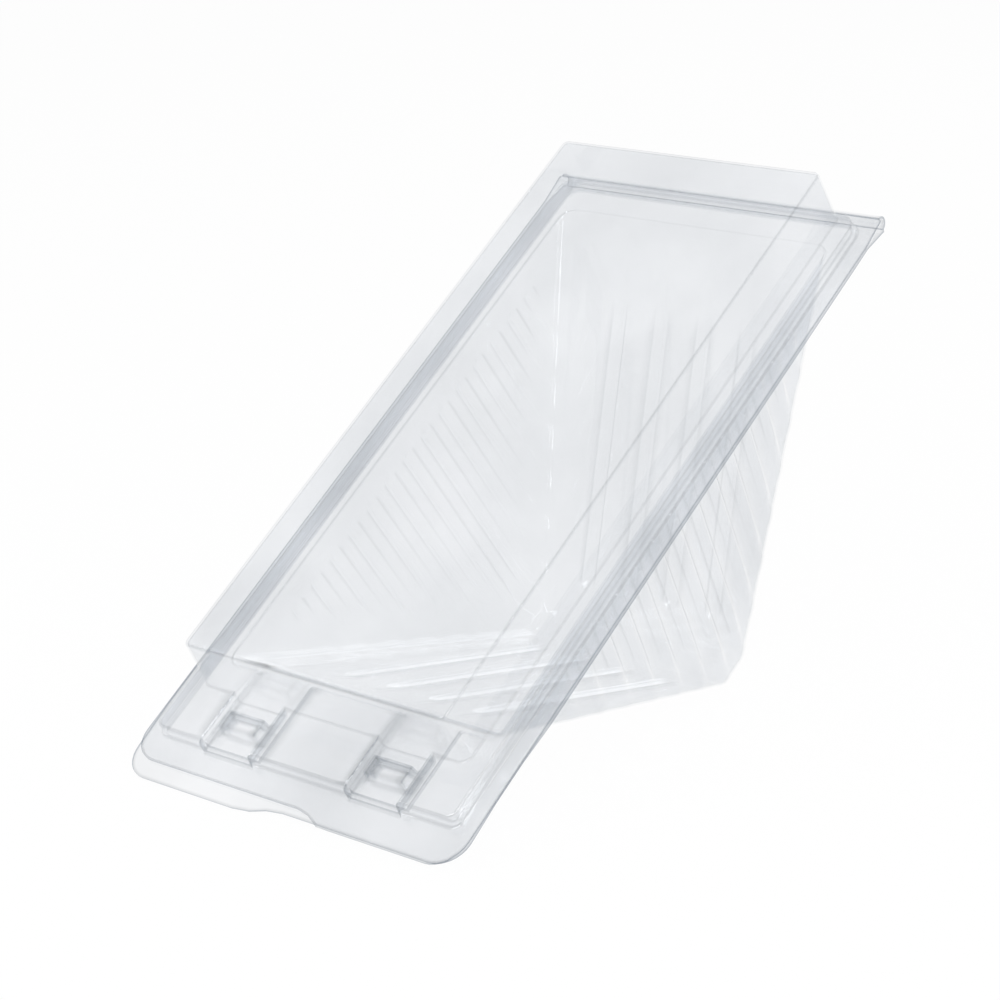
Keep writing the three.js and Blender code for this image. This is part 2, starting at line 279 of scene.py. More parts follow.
def cavity_depth(y):
    """Depth of the cavity's floor below the ledge: two legs at 45 degrees, a flat heel, and
    an arc of the heel's radius where each leg meets it."""
    leg = np.minimum(y - CAVITY_NEAR_Y, CAVITY_FAR_Y - y)
    tangent = HEEL_RADIUS * math.tan(LEG_TURN / 2)
    past = np.clip(CAVITY_DEPTH + tangent - leg, 0, HEEL_RADIUS)
    arc = CAVITY_DEPTH - HEEL_RADIUS + np.sqrt(HEEL_RADIUS**2 - past**2)
    on_leg = leg < CAVITY_DEPTH + tangent - HEEL_RADIUS * math.sin(LEG_TURN)
    return np.where(on_leg, leg, arc)


def tray_lines():
    """The tray's lines across and along: close together on ribs, studs and channel flanks."""
    rib_marks = [0, 0.7, 1.25, 1.65, 1.95]
    stud_edge = STUD_HALF - NEST - FLANK * np.array([0, 0.3, 0.65, 1])
    channel_edge = CHANNEL_HALF + NEST + FLANK * np.array([0, 0.35, 0.7, 1])
    locks = lines_round([-LOCK_X, LOCK_X], [*stud_edge, *channel_edge])
    ends = [-CAVITY_HALF + CAVITY_CORNER, CAVITY_HALF - CAVITY_CORNER, 0]
    cross = spaced(np.concatenate([lines_round(LEG_RIB_X, rib_marks), locks, ends]))
    ribs = lines_round(SIDE_RIB_Y, [*rib_marks, SIDE_RIB_PITCH / 2])
    first = np.linspace(CAVITY_NEAR_Y + CAVITY_CORNER, TRAY_STILL_Y[0], 5)
    last = np.linspace(TRAY_STILL_Y[1], CAVITY_FAR_Y - CAVITY_CORNER, 5)
    along = spaced(np.concatenate([first, ribs, last]))
    return cross, along, TRAY_STILL_X, TRAY_STILL_Y


def tray_rim(lines):
    """The tray from its trimmed edge in to the cavity's edge, as nested loops: the flange,
    the ledge's wall, the ledge with its channels and studs, and the bend into the cavity."""
    trim = loop(lines, FLANGE_HALF, 0, CREST_Y, FLANGE_CORNER, FLANGE_FAR_CORNER)
    start, end = TRAY_TAB_SPAN
    tab = TRAY_TAB_REACH * (1 - smooth((trim[:, 0] - start) / (end - start)))
    trim[:, 1] -= tab * np.clip(1 - trim[:, 1] / TAB_FADE, 0, 1)
    inward, heights = wall_profile(0, LEDGE_HEIGHT, STEP_DRAFT, LEDGE_BEND, LEDGE_BEND)
    walls = [
        loop(
            lines,
            STEP_HALF - NEST - pull,
            STEP_NEAR_Y + NEST + pull,
            STEP_FAR_Y - NEST - pull,
            STEP_NEAR_CORNER - NEST - pull,
            STEP_FAR_CORNER - NEST - pull,
        )
        for pull in inward
    ]
    walls = with_heights(np.array(walls), heights[:, None])
    flange = between(trim, walls[0, :, :2], [0, 0.07, 0.2, 0.35, 0.5, 0.65, 0.8, 0.92])
    flange = with_heights(flange, 0)
    opening = loop(
        lines, CAVITY_HALF, CAVITY_NEAR_Y, CAVITY_FAR_Y, CAVITY_CORNER, CAVITY_CORNER
    )
    cross, along = len(lines[0]), len(lines[1])
    bends = np.linspace(0, 1, CORNER_STEPS + 1)[1:-1]
    side_turn = math.pi / 2 - SIDE_DRAFT
    to_side = LEG_TURN + (side_turn - LEG_TURN) * bends
    quarter = [
        np.full(cross, LEG_TURN),
        to_side,
        np.full(along, side_turn),
        to_side[::-1],
    ]
    turn = np.concatenate(quarter + quarter)
    middle = np.stack(
        [
            np.clip(opening[:, 0], CAVITY_CORNER - CAVITY_HALF, CAVITY_HALF - CAVITY_CORNER),
            np.clip(opening[:, 1], CAVITY_NEAR_Y + CAVITY_CORNER, CAVITY_FAR_Y - CAVITY_CORNER),
        ],
        axis=1,
    )
    inside = (middle - opening) / CAVITY_CORNER
    edge = []
    for share in np.linspace(0, 1, 5):
        angle = turn * share
        pull = CAVITY_EDGE * (np.sin(angle) - np.tan(turn / 2))
        height = LEDGE_HEIGHT - CAVITY_EDGE * (1 - np.cos(angle))
        edge.append(np.column_stack([opening + inside * pull[:, None], height]))
    edge = np.array(edge)
    near_from, near_to = walls[-1, 0, 1], edge[0, 0, 1]
    stud_edge = STUD_HALF_LENGTH - NEST - FLANK * np.array([0, 0.35, 0.7, 1])
    marks = [lines_round([STUD_Y], stud_edge), np.linspace(near_from + 1, near_to - 1, 9)]
    shares = (spaced(np.concatenate(marks), 0.1) - near_from) / (near_to - near_from)
    ledge = between(walls[-1, :, :2], edge[0, :, :2], shares)
    ledge = with_heights(ledge, LEDGE_HEIGHT)
    rows = np.concatenate([flange, walls, ledge, edge])
    on_flange = rows[..., 2] < FLANGE_BELOW
    rows[..., 2] -= (ROLL_RADIUS - SHEET) * swell(rows[..., 1]) * on_flange
    return rows


def cut_tray_channels(points):
    """Lowers the tray between the cavity and the lip at each lock, and raises its stud."""
    x, y, z = np.moveaxis(points, -1, 0)
    floor = CHANNEL_FLOOR - NEST
    cover = floor + (LEDGE_HEIGHT - floor) * (1 - lock_span(x, CHANNEL_HALF + NEST, FLANK))
    near = y < CAVITY_NEAR_Y + CAVITY_CORNER
    z = np.where(near, np.minimum(z, cover), z)
    stud = floor + (STUD_TOP - NEST - floor) * lock_stud(x, y, NEST)
    z = np.where(near & (y > STUD_FROM_Y), np.maximum(z, stud), z)
    return np.stack([x, y, z], axis=-1)


def tray_cavity(lines, edge):
    """The cavity as sections across it, one for each point on the side of its edge: down the
    drafted wall, round the corner by x = wall - R(1 - cos a), depth = floor - R(1 - sin a),
    and across the leg or heel. Ribs stand out of the walls and legs. A side rib starts in a
    round head and runs low before the corner. A leg rib runs out where the walls close in."""
    cross, along, _, _ = lines
    sides = len(along) + 2 * (CORNER_STEPS - 1)
    near = edge[: len(cross)]
    right = edge[len(cross) : len(cross) + sides]
    far = edge[len(cross) + sides : 2 * len(cross) + sides][::-1]
    y = right[:, 1][:, None]
    top = LEDGE_HEIGHT - right[:, 2][:, None]
    floor = cavity_depth(y)
    drop = np.maximum(floor - CAVITY_CORNER - top, 0)
    heads = len(HEAD_DEPTHS)
    even = drop * np.arange(1, heads + 1) / WALL_STEPS
    # Where the wall is low, its upper rows go no deeper than twice their even depth.
    upper = np.minimum(np.array(HEAD_DEPTHS), even * HEAD_DEPTH_LIMIT)
    rest = np.linspace(0, 1, WALL_STEPS - heads + 1)[1:]
    lower = upper[:, -1:] + (drop - upper[:, -1:]) * rest
    wall_depth = top + np.concatenate([upper, lower], axis=1)
    slope = math.tan(SIDE_DRAFT)
    wall_x = np.where(drop > 0, CAVITY_HALF - wall_depth * slope, right[:, :1])
    first = np.arcsin(np.clip(1 - (floor - top) / CAVITY_CORNER, 0, 1))
    angle = first + (math.pi / 2 - first) * np.linspace(0, 1, FILLET_STEPS + 1)[1:]
    bend_depth = floor - CAVITY_CORNER * (1 - np.sin(angle))
    bend_x = CAVITY_HALF - bend_depth * slope - CAVITY_CORNER * (1 - np.cos(angle))
    depth = np.concatenate([wall_depth, bend_depth], axis=1)
    x = np.concatenate([wall_x, bend_x], axis=1)
    outward = np.concatenate([np.zeros_like(wall_depth), angle], axis=1)
    off = np.abs(y - SIDE_RIB_Y).min(axis=1, keepdims=True)
    rib = rib_height(np.hypot(off, np.clip(SIDE_RIB_HEAD - depth, 0, None)))
    from_head = np.hypot(off, depth - SIDE_RIB_HEAD) / HEAD_RADIUS
    rib = np.maximum(rib, HEAD_PROUD * np.clip(1 - from_head**2, 0, 1))
    tail = np.where(outward > 0, 0, (floor - CAVITY_CORNER - depth) / SIDE_RIB_TAIL)
    left = RIB_LEFT_AT_CORNER
    rib *= (left + (1 - left) * smooth(tail)) * np.cos(outward)
    x = x + rib * np.cos(outward)
    depth = depth + rib * np.sin(outward)
    height = LEDGE_HEIGHT - depth
    half = np.stack([x, np.broadcast_to(y, x.shape), height], axis=-1)

    reach = bend_x[:, -1:]
    past = np.clip(np.abs(cross) - FLOOR_STILL_X, 0, None) / (cross[-1] - FLOOR_STILL_X)
    kept = np.minimum(np.abs(cross), FLOOR_STILL_X)
    floor_x = np.sign(cross) * (kept + past * (reach - FLOOR_STILL_X))
    proud = np.zeros_like(floor_x)
    for middle in LEG_RIB_X:
        room = CAVITY_HALF - abs(middle) - 2 * RIB_HALF
        foot = min(CAVITY_DEPTH - LEG_RIB_TAIL, room / slope)
        past = np.clip(LEG_RIB_HEAD - floor, 0, None) + np.clip(floor - foot, 0, None)
        rib = rib_height(np.hypot(floor_x - middle, past * math.sqrt(2)))
        proud = np.maximum(proud, rib * smooth((reach - abs(middle)) / LEG_RIB_RUN_OUT))
    proud *= math.sin(LEG_TURN) * smooth((reach - np.abs(floor_x)) / LEG_RIB_SIDE_FADE)
    side = np.where(y < CAVITY_MIDDLE, -1, 1)
    flat = np.stack([floor_x, y + side * proud, LEDGE_HEIGHT - floor - proud], axis=-1)

    mirror = np.array([-1, 1, 1])
    edges = right[:, None]
    rows = [edges * mirror, half * mirror, flat[:, 1:-1], half[:, ::-1], edges]
    sections = np.concatenate(rows, axis=1)
    ends = [(WALL_STEPS + FILLET_STEPS, WALL_STEPS + FILLET_STEPS), (0, 0)]
    first_row = np.pad(near, ends, mode="edge")[None]
    last_row = np.pad(far, ends, mode="edge")[None]
    return np.concatenate([first_row, sections, last_row])


def grid_faces(count, width, closed, first):
    """The quads of a grid of count rows of width points, wrapped round if it is closed."""
    index = first + np.arange(count * width).reshape(count, width)
    beside = np.roll(index, -1, axis=1)
    quads = np.stack([index[:-1], beside[:-1], beside[1:], index[1:]], axis=-1)
    if not closed:
        quads = quads[:, :-1]
    return quads.reshape(-1, 4)


SEAM_GAP = 2e-6
SHARP_TURN = math.radians(50)


def formed_sheet(name, grids, materials):
    """A piece of formed sheet: its outer face from grids of points that share their seams,
    given its thickness behind that face, with the trimmed edges in the second material."""
    points = []
    faces = []
    first = 0
    for grid, closed in grids:
        count, width = grid.shape[:2]
        points.append(in_frame(grid.reshape(-1, 3)))
        faces.append(grid_faces(count, width, closed, first))
        first += count * width
    mesh = bpy.data.meshes.new(name)
    mesh.from_pydata(np.concatenate(points).tolist(), [], np.concatenate(faces).tolist())
    skin = bmesh.new()
    skin.from_mesh(mesh)
    bmesh.ops.remove_doubles(skin, verts=skin.verts, dist=SEAM_GAP)
    skin.to_mesh(mesh)
    skin.free()
    for material in materials:
        mesh.materials.append(material)
    sheet = bpy.data.objects.new(name, mesh)
    bpy.context.scene.collection.objects.link(sheet)
    wall = sheet.modifiers.new("wall", "SOLIDIFY")
    wall.thickness = SHEET * MM
    wall.offset = -1
    wall.material_offset_rim = 1
    depsgraph = bpy.context.evaluated_depsgraph_get()
    thick = bpy.data.meshes.new_from_object(sheet.evaluated_get(depsgraph))
    sheet.modifiers.clear()
    sheet.data = thick
    bpy.data.meshes.remove(mesh)
    thick.name = name
    thick.polygons.foreach_set("use_smooth", np.ones(len(thick.polygons), bool))
    thick.set_sharp_from_angle(angle=SHARP_TURN)
    return sheet


TIGHTEST = 0.45
SHORTEST_EDGE = 0.15
SEAM_REACH = 0.1


def mark_bends(sheet, seam_y):
    """Stores at each point how tightly the sheet turns there, from 0 for flat to 1 for a
    radius of TIGHTEST: the change of normal along an edge over its length. Where the sheet
    runs on past the seam into the next piece, it counts as flat and has no trimmed edge."""
    mesh = sheet.data
    place = np.empty(3 * len(mesh.vertices), np.float32)
    normal = np.empty_like(place)
    ends = np.empty(2 * len(mesh.edges), np.int32)
    mesh.vertices.foreach_get("co", place)
    mesh.vertex_normals.foreach_get("vector", normal)
    mesh.edges.foreach_get("vertices", ends)
    place = place.reshape(-1, 3)
    normal = normal.reshape(-1, 3)
    ends = ends.reshape(-1, 2)
    length = np.linalg.norm(place[ends[:, 0]] - place[ends[:, 1]], axis=1) / MM
    turn = np.linalg.norm(normal[ends[:, 0]] - normal[ends[:, 1]], axis=1)
    rate = turn / np.maximum(length, SHORTEST_EDGE)
    bend = np.zeros(len(place), np.float32)
    np.maximum.at(bend, ends[:, 0], rate)
    np.maximum.at(bend, ends[:, 1], rate)
    bend = np.clip(bend * TIGHTEST, 0, 1)
    bend[in_pack(place)[:, 1] > seam_y] = 0
    # The plastic's material paints shade along the bends from this value and pebbles the gloss
    # there.
    stored = mesh.attributes.new("bend", "FLOAT", "POINT")
    stored.data.foreach_set("value", bend.astype(np.float32))
    centre = np.empty(3 * len(mesh.polygons), np.float32)
    slots = np.empty(len(mesh.polygons), np.int32)
    mesh.polygons.foreach_get("center", centre)
    mesh.polygons.foreach_get("material_index", slots)
    slots[in_pack(centre.reshape(-1, 3))[:, 1] > seam_y] = 0
    mesh.polygons.foreach_set("material_index", slots)
    mesh.update()


def value_node(tree, kind, inputs, **settings):
    """A node of that kind with its settings made and its inputs linked or set."""
    node = tree.nodes.new(kind)
    for setting, value in settings.items():
        setattr(node, setting, value)
    for socket, value in inputs.items():
        if isinstance(value, bpy.types.NodeSocket):
            tree.links.new(value, node.inputs[socket])
        else:
            node.inputs[socket].default_value = value
    return node


FACE_MIRROR = 0.045


def clear_plastic(name, through, edge_on_and_painted_shade, roughness, bend_shade_strength):
    """Clear PET: it lets light through, a little less where it is seen edge on, and mirrors its
    surroundings. Painted shade darkens its tint along the tight bends, standing in for the light
    that the formed radii refract away, and a painted reflection darkens it in soft patches,
    standing in for darker surroundings mirrored in the sheet. One face mirrors
    R = R0 + (1 - R0)(1 - cos a)^5, and both faces of the sheet together 2R / (1 + R), which the
    face towards the eye gives. Ripples and, on the bends, a fine pebble from forming disturb the
    gloss."""
    material = bpy.data.materials.new(name)
    material.use_nodes = True
    tree = material.node_tree
    tree.nodes.clear()
    place = tree.nodes.new("ShaderNodeTexCoord").outputs["Object"]
    ripple = value_node(
        tree, "ShaderNodeTexNoise", {"Vector": place, "Scale": 70.0, "Detail": 0.0}
    )
    bend = tree.nodes.new("ShaderNodeAttribute")
    bend.attribute_name = "bend"
    pebble = value_node(
        tree, "ShaderNodeTexNoise", {"Vector": place, "Scale": 900.0, "Detail": 0.0}
    )
    pebbled = value_node(
        tree,
        "ShaderNodeMath",
        {0: pebble.outputs["Fac"], 1: bend.outputs["Fac"]},
        operation="MULTIPLY",
    )
    relief = value_node(
        tree,
        "ShaderNodeMath",
        {0: pebbled.outputs[0], 1: 0.5, 2: ripple.outputs["Fac"]},
        operation="MULTIPLY_ADD",
    )
    bump = value_node(
        tree,
        "ShaderNodeBump",
        {"Strength": 0.35, "Distance": 0.0002, "Height": relief.outputs[0]},
    )
    facing = value_node(tree, "ShaderNodeLayerWeight", {"Blend": 0.5})
    grazing = value_node(
        tree,
        "ShaderNodeMapRange",
        {"Value": facing.outputs["Facing"], "From Min": 0.75, "From Max": 1.0, "To Max": 0.12},
        interpolation_type="SMOOTHSTEP",
    )
    # Painted reflection: a noise darkens the tint in soft patches, standing in for darker
    # surroundings mirrored in the sheet.
    reflection_noise = value_node(
        tree, "ShaderNodeTexNoise", {"Vector": place, "Scale": 28.0, "Detail": 3.0}
    )
    painted_reflection = value_node(
        tree,
        "ShaderNodeMapRange",
        {"Value": reflection_noise.outputs["Fac"], "From Min": 0.35, "From Max": 0.7, "To Max": 0.065},
    )
    # Painted shade: the tint darkens along tight bends, standing in for the light that the
    # formed radii refract away.
    painted_bend_shade = value_node(
        tree,
        "ShaderNodeMapRange",
        {"Value": bend.outputs["Fac"], "From Min": 0.38, "From Max": 1.0, "To Max": bend_shade_strength},
        interpolation_type="SMOOTHSTEP",
    )
    grazing_and_painted_reflection = value_node(
        tree,
        "ShaderNodeMath",
        {0: grazing.outputs[0], 1: painted_reflection.outputs[0]},
        operation="ADD",
    )
    # Edge-on loss plus the painted reflection and the painted shade at bends give the share of
    # the darker tint.
    dark = value_node(
        tree,
        "ShaderNodeMath",
        {0: grazing_and_painted_reflection.outputs[0], 1: painted_bend_shade.outputs[0]},
        operation="ADD",
        use_clamp=True,
    )
    tint = value_node(
        tree,
        "ShaderNodeMix",
        {0: dark.outputs[0], 6: through, 7: edge_on_and_painted_shade},
        data_type="RGBA",
    )
    clear = value_node(tree, "ShaderNodeBsdfTransparent", {"Color": tint.outputs[2]})
    gloss = value_node(
        tree,
        "ShaderNodeBsdfAnisotropic",
        {"Color": (1, 1, 1, 1), "Roughness": roughness, "Normal": bump.outputs[0]},
    )
    steep = value_node(
        tree, "ShaderNodeMath", {0: facing.outputs["Facing"], 1: 5.0}, operation="POWER"
    )
    face = value_node(
        tree,
        "ShaderNodeMapRange",
        {"Value": steep.outputs[0], "To Min": FACE_MIRROR, "To Max": 1.0},
    )
    twice = value_node(
        tree, "ShaderNodeMath", {0: face.outputs[0], 1: 2.0}, operation="MULTIPLY"
    )
    more = value_node(tree, "ShaderNodeMath", {0: face.outputs[0], 1: 1.0}, operation="ADD")
    mirror = value_node(
        tree, "ShaderNodeMath", {0: twice.outputs[0], 1: more.outputs[0]}, operation="DIVIDE"
    )
    back = tree.nodes.new("ShaderNodeNewGeometry").outputs["Backfacing"]
    front = value_node(tree, "ShaderNodeMath", {0: 1.0, 1: back}, operation="SUBTRACT")
    share = value_node(
        tree, "ShaderNodeMath", {0: mirror.outputs[0], 1: front.outputs[0]}, operation="MULTIPLY"
    )
    mixed = value_node(
        tree,
        "ShaderNodeMixShader",
        {0: share.outputs[0], 1: clear.outputs[0], 2: gloss.outputs[0]},
    )
    shadow = tree.nodes.new("ShaderNodeLightPath").outputs["Is Shadow Ray"]
    shade = value_node(tree, "ShaderNodeBsdfTransparent", {"Color": through})
    cast = value_node(
        tree, "ShaderNodeMixShader", {0: shadow, 1: mixed.outputs[0], 2: shade.outputs[0]}
    )
    output = tree.nodes.new("ShaderNodeOutputMaterial")
    tree.links.new(cast.outputs[0], output.inputs["Surface"])
    return material


# The second colour of each is the darker tint for edge-on views, for the painted shade along
# bends and for the painted reflection patches; the last number is the strength of the painted
# bend shade.
sheet_clear = clear_plastic(
    "clear_pet",
    through=(0.96, 0.965, 0.972, 1),
    edge_on_and_painted_shade=(0.32, 0.345, 0.37, 1),
    roughness=0.06,
    bend_shade_strength=0.18,
)
sheet_edge = clear_plastic(
    "trimmed_pet_edge",
    through=(0.66, 0.69, 0.73, 1),
    edge_on_and_painted_shade=(0.25, 0.28, 0.3, 1),
    roughness=0.25,
    bend_shade_strength=0.1,
)

tray_grid = tray_lines()
tray_ring = cut_tray_channels(tray_rim(tray_grid))
tray_trough = cut_tray_channels(tray_cavity(tray_grid, tray_ring[-1]))
tray = formed_sheet(
    "tray_form", [(tray_ring, True), (tray_trough, False)], [sheet_clear, sheet_edge]
)
mark_bends(tray, CREST_Y - SEAM_REACH)
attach(tray, "tray")
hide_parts("tray")


# The lid is the upper half of the same sheet: a flange with its own finger tab, a step that
# closes over the tray's ledge, and a tall dome as the window. At the lip two channels cross
# the step, each with a stud that snaps over the stud of the tray.

LID_TOP = REST_GAP + SHEET
LID_LIP_Y = 1.7
LID_TAB_REACH = 2.6
LID_TAB_SPAN = (4.5, 10.5)
LID_CREASE_Y = 2.7
LID_CREASE_RISE = 0.22
LID_CREASE_HALF = 0.7
STEP_HEIGHT = 4
STEP_FOOT_BEND = 0.35
STEP_TOP_BEND = 0.5
LEAST_STEP_CORNER = 0.3
CHANNEL_MOUTH = 0.9
MOUTH_MARGIN = 0.2
MOUTH_FADE_ROWS = 0.3
MOUTH_END_Y = STEP_NEAR_Y + 3.5
MOUTH_FADE_LENGTH = 2.5
DOME_HALF = 36.5
DOME_NEAR_Y = 20.7
DOME_HEIGHT = 16.6
DOME_DRAFT = math.radians(4)
DOME_CORNER = 2.5
LEAST_DOME_CORNER = 0.6
DOME_FAR_MARGIN = 0.05
DOME_FOOT_BEND = 0.35
DOME_TOP_BEND = 0.6
WINDOW_SAG = 0.25
LID_STILL_X = 32
LID_STILL_Y = (45, 160)


def lid_lines():
    """The lid's lines across and along, close together on the studs and channel flanks."""
    stud_edge = STUD_HALF - FLANK * np.array([0, 0.12, 0.3, 0.5, 0.7, 0.88, 1])
    channel_edge = CHANNEL_HALF + FLANK * np.array([-0.3, 0, 0.1, 0.3, 0.5, 0.7, 0.9, 1, 1.4])
    locks = lines_round([-LOCK_X, LOCK_X], [0, 2.5, *stud_edge, *channel_edge])
    cross = np.concatenate([locks, np.linspace(-10, 10, 7), [-34, -32, 32, 34]])
    cross = spaced(cross, 0.03)
    along = np.linspace(26, 174, 31)
    return cross, along, LID_STILL_X, LID_STILL_Y


def lid_surface(lines):
    """The lid's outer face as nested loops from the trimmed edge in to the middle of the
    window: flange, step wall, step, dome wall and a window that sags a little."""
    trim = loop(lines, FLANGE_HALF, LID_LIP_Y, CREST_Y, FLANGE_CORNER, FLANGE_FAR_CORNER)
    start, end = LID_TAB_SPAN
    tab = LID_TAB_REACH * smooth((trim[:, 0] - start) / (end - start))
    trim[:, 1] -= tab * np.clip(1 - trim[:, 1] / TAB_FADE, 0, 1)
    inward, heights = wall_profile(
        LID_TOP, STEP_HEIGHT, STEP_DRAFT, STEP_FOOT_BEND, STEP_TOP_BEND
    )
    step_wall = [
        loop(
            lines,
            STEP_HALF - pull,
            STEP_NEAR_Y + pull,
            STEP_FAR_Y - pull,
            max(STEP_NEAR_CORNER - pull, LEAST_STEP_CORNER),
            STEP_FAR_CORNER - pull,
        )
        for pull in inward
    ]
    step_wall = with_heights(np.array(step_wall), heights[:, None])
    shares = [0, 0.06, 0.13, 0.2, 0.27, 0.34, 0.41, 0.48, 0.56, 0.66, 0.78, 0.9]
    flange = with_heights(between(trim, step_wall[0, :, :2], shares), LID_TOP)
    on_tab = smooth((flange[..., 0] - start) / (end - start))
    off_crease = np.abs(flange[..., 1] - LID_CREASE_Y) / LID_CREASE_HALF
    flange[..., 2] += LID_CREASE_RISE * on_tab * np.clip(1 - off_crease, 0, 1)

    inward, heights = wall_profile(
        STEP_HEIGHT, DOME_HEIGHT, DOME_DRAFT, DOME_FOOT_BEND, DOME_TOP_BEND
    )
    far_step = STEP_FAR_Y - step_wall[-1, :, 1].max()
    far_draft = (heights - STEP_HEIGHT) * math.tan(DOME_DRAFT)
    far_pull = far_step + np.maximum(inward - far_draft, 0) + DOME_FAR_MARGIN
    far_pull = np.maximum.accumulate(far_pull)
    dome_wall = [
        loop(
            lines,
            DOME_HALF - pull,
            DOME_NEAR_Y + pull,
            STEP_FAR_Y - far,
            max(DOME_CORNER - pull, LEAST_DOME_CORNER),
            max(DOME_CORNER - pull, LEAST_DOME_CORNER),
        )
        for pull, far in zip(inward, far_pull)
    ]
    dome_wall = with_heights(np.array(dome_wall), heights[:, None])

    near_from, near_to = step_wall[-1, 0, 1], dome_wall[0, 0, 1]
    stud_edge = STUD_HALF_LENGTH - FLANK * np.array([0, 0.25, 0.5, 0.75, 1])
    marks = [
        lines_round([STUD_Y], [0, *stud_edge]),
        np.linspace(near_from + 0.4, near_to - 0.3, 12),
    ]
    shares = (spaced(np.concatenate(marks), 0.1) - near_from) / (near_to - near_from)
    step_top = between(step_wall[-1, :, :2], dome_wall[0, :, :2], shares)
    step_top = with_heights(step_top, STEP_HEIGHT)

    window_edge = dome_wall[-1, :, :2]
    reach = window_edge[:, 0].max()
    low, high = window_edge[:, 1].min() + reach, window_edge[:, 1].max() - reach
    spine = np.stack(
        [np.zeros(len(window_edge)), np.clip(window_edge[:, 1], low, high)], axis=1
    )
    shares = np.array([0.02, 0.06, 0.14, 0.28, 0.46, 0.66, 0.84, 1])
    sag = WINDOW_SAG * smooth(shares)[:, None]
    window = with_heights(between(window_edge, spine, shares), DOME_HEIGHT - sag)

    rim = np.concatenate([flange, step_wall])
    rise = LID_TOP + (ROLL_RADIUS - LID_TOP) * swell(rim[..., 1])
    rim[..., 2] = np.maximum(rim[..., 2], rise)
    step_rows = np.concatenate([rim, step_top])
    step_rows = cut_lid_channels(step_rows, len(flange), len(lines[0]))
    foot_rows = len(inward) // 2
    near = np.arange(dome_wall.shape[1]) < len(lines[0])
    fall = (STEP_HEIGHT - CHANNEL_FLOOR) * lock_span(dome_wall[..., 0], CHANNEL_HALF, FLANK)
    dome_wall[:foot_rows, :, 2] -= (fall * near)[:foot_rows]
    dome_wall[:foot_rows, :, 1] -= (fall * near)[:foot_rows] * math.tan(DOME_DRAFT)
    return np.concatenate([step_rows, dome_wall, window])


def cut_lid_channels(rows, flange_rows, near_points):
    """Lowers the step to the channel floor at each lock, moves the channel's mouth out of the
    step's wall, and raises the snap stud."""
    x, y, z = np.moveaxis(rows, -1, 0)
    near = np.arange(rows.shape[1]) < near_points
    span = lock_span(x, CHANNEL_HALF, FLANK) * near
    order = np.arange(rows.shape[0])[:, None]
    outside = smooth((order / flange_rows - (1 - MOUTH_FADE_ROWS)) / MOUTH_FADE_ROWS)
    inside = smooth((MOUTH_END_Y - y) / MOUTH_FADE_LENGTH)
    lead = np.where(order >= flange_rows, inside, outside)
    y = y - CHANNEL_MOUTH * lock_span(x, CHANNEL_HALF + MOUTH_MARGIN, FLANK) * near * lead
    cover = CHANNEL_FLOOR + (STEP_HEIGHT - CHANNEL_FLOOR) * (1 - span)
    z = np.minimum(z, cover)
    stud = CHANNEL_FLOOR + (STUD_TOP - CHANNEL_FLOOR) * lock_stud(x, y, 0)
    z = np.where(near & (y > STUD_FROM_Y), np.maximum(z, stud), z)
    return np.stack([x, y, z], axis=-1)


lid = formed_sheet("lid_form", [(lid_surface(lid_lines()), True)], [sheet_clear, sheet_edge])
mark_bends(lid, CREST_Y - SEAM_REACH)
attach(lid, "lid")
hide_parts("lid")


# The hinge is the stretch of the sheet between the two flanges, rolled round so that it can
# open flat. On the pack it is one piece with both; here it is a fixed half round of its own,
# attached to neither the tray nor the lid.

HINGE_STEPS = 28
HINGE_COLUMNS = 46


def hinge_surface():
    """A half round of the roll's radius, from the lid's crest round the back to the tray's."""
    angle = np.linspace(math.pi / 2, -math.pi / 2, HINGE_STEPS + 1)[:, None]
    half = FLANGE_HALF - FLANGE_FAR_CORNER
    x = np.linspace(-half, half, HINGE_COLUMNS)
    y = CREST_Y + ROLL_RADIUS * np.cos(angle)
    z = ROLL_RADIUS * np.sin(angle)
    shape = (HINGE_STEPS + 1, HINGE_COLUMNS)
    return np.stack([np.broadcast_to(part, shape) for part in (x, y, z)], axis=-1)


hinge = formed_sheet("hinge_roll", [(hinge_surface(), False)], [sheet_clear, sheet_edge])
mark_bends(hinge, HINGE_Y)
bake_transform(hinge)


# The pack stands on a plain white floor, lit by large soft lamps and a pale sky. Seen by the
# camera, in gloss or through the plastic, floor and sky are white.

FLOOR_HALF = 4
FLOOR_WHITE = (0.93, 0.93, 0.93, 1)
FLOOR_GLOW = 0.95
WORLD_LIGHT = 0.6
LAMP_AIM = (0, 0, 0.05)


def background_rays(tree):
    """1 for rays that see the background: from the camera, in gloss and through plastic."""
    path = tree.nodes.new("ShaderNodeLightPath")
    seen = value_node(
        tree,
        "ShaderNodeMath",
        {0: path.outputs["Is Camera Ray"], 1: path.outputs["Is Glossy Ray"]},
        operation="MAXIMUM",
    )
    return value_node(
        tree,
        "ShaderNodeMath",
        {0: seen.outputs[0], 1: path.outputs["Is Transmission Ray"]},
        operation="MAXIMUM",
    ).outputs[0]


def white_floor():
    """A matt white that keeps the pack's shadow, lifted to white where it is seen."""
    material = bpy.data.materials.new("white_floor")
    material.use_nodes = True
    tree = material.node_tree
    tree.nodes.clear()
    matt = value_node(tree, "ShaderNodeBsdfDiffuse", {"Color": FLOOR_WHITE})
    glow = value_node(tree, "ShaderNodeEmission", {"Color": (1, 1, 1, 1), "Strength": 1.0})
    share = value_node(
        tree, "ShaderNodeMath", {0: background_rays(tree), 1: FLOOR_GLOW}, operation="MULTIPLY"
    )
    mixed = value_node(
        tree,
        "ShaderNodeMixShader",
        {0: share.outputs[0], 1: matt.outputs[0], 2: glow.outputs[0]},
    )
    output = tree.nodes.new("ShaderNodeOutputMaterial")
    tree.links.new(mixed.outputs[0], output.inputs["Surface"])
    return material


